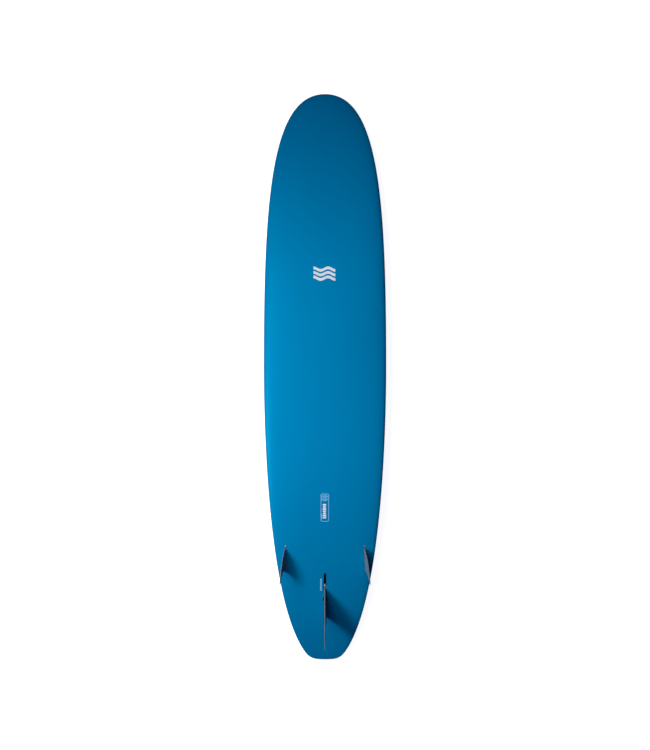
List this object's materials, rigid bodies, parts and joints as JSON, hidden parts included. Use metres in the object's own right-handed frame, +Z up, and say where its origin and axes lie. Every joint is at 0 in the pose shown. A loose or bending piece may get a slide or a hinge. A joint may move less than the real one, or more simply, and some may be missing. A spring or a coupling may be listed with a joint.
{
  "type": "longboard surfboard",
  "caption": "Round-nosed longboard surfboard lying deck down, with a box-mounted centre fin, two side fins, a leash plug and a vent plug.",
  "frame": {"origin": "centre of the bounding box at floor level, with the board lying deck down on the nose and tail ends of its deck", "axes": "+Y towards the nose, +Z up, out of the bottom (the fin side); left is -X, as seen looking at the bottom with the nose up"},
  "size_m": [0.584, 2.743, 0.2424],
  "materials": {
    "blue_paint": "satin",
    "foam": "matte",
    "dense_foam": "matte",
    "stringer_wood": "matte",
    "black_plastic": "satin",
    "fin_plastic": "satin",
    "stainless_steel": "satin",
    "brass_pin": "satin",
    "white_nylon": "satin",
    "membrane": "matte",
    "seal_rubber": "matte"
  },
  "bodies": {
    "board": {"bottom_skin": "blue_paint", "deck_skin": "blue_paint", "core_left": "foam", "core_right": "foam", "stringer": "stringer_wood", "centre_box_block": "dense_foam", "side_box_block_left": "dense_foam", "side_box_block_right": "dense_foam", "leash_plug_block": "dense_foam", "centre_fin_box": "black_plastic", "side_fin_box_left": "blue_paint", "side_fin_box_right": "blue_paint", "side_fin_left": "fin_plastic", "side_fin_right": "fin_plastic", "side_screw_insert_left": "white_nylon", "side_screw_insert_right": "white_nylon", "leash_plug_cup": "black_plastic", "leash_plug_bar": "stainless_steel", "vent_housing": "black_plastic", "vent_membrane": "membrane", "vent_o_ring": "seal_rubber"},
    "centre_fin_unit": {"centre_fin": "fin_plastic", "centre_fin_pin": "brass_pin", "centre_fin_plate": "stainless_steel"},
    "centre_screw": {"centre_fin_screw": "stainless_steel"},
    "side_screw_left": {"side_fin_screw_left": "stainless_steel"},
    "side_screw_right": {"side_fin_screw_right": "stainless_steel"},
    "vent_cap": {"vent_cap": "white_nylon"}
  },
  "joints": [
    {"name": "centre_fin_slide", "type": "slide", "parent": "board", "child": "centre_fin_unit", "axis": [0, 0.9956, 0.0941], "range_m": [-0.038, 0.046]},
    {"name": "centre_screw_turn", "type": "hinge", "parent": "centre_fin_unit", "child": "centre_screw", "pos_m": [0, -1.0033, 0.06136], "axis": [0, -0.0941, 0.9956], "range_deg": [0, 720]},
    {"name": "side_screw_left_turn", "type": "hinge", "parent": "board", "child": "side_screw_left", "pos_m": [-0.1896, -0.81084, 0.07573], "axis": [0.0069, 0.611, 0.7916], "range_deg": [0, 1080]},
    {"name": "side_screw_right_turn", "type": "hinge", "parent": "board", "child": "side_screw_right", "pos_m": [0.1896, -0.81084, 0.07573], "axis": [-0.0069, 0.611, 0.7916], "range_deg": [0, 1080]},
    {"name": "vent_cap_turn", "type": "hinge", "parent": "board", "child": "vent_cap", "pos_m": [0.045, 0.56, 0.03746], "axis": [0.0123, -0.0076, -0.9999], "range_deg": [0, 1080]}
  ]
}
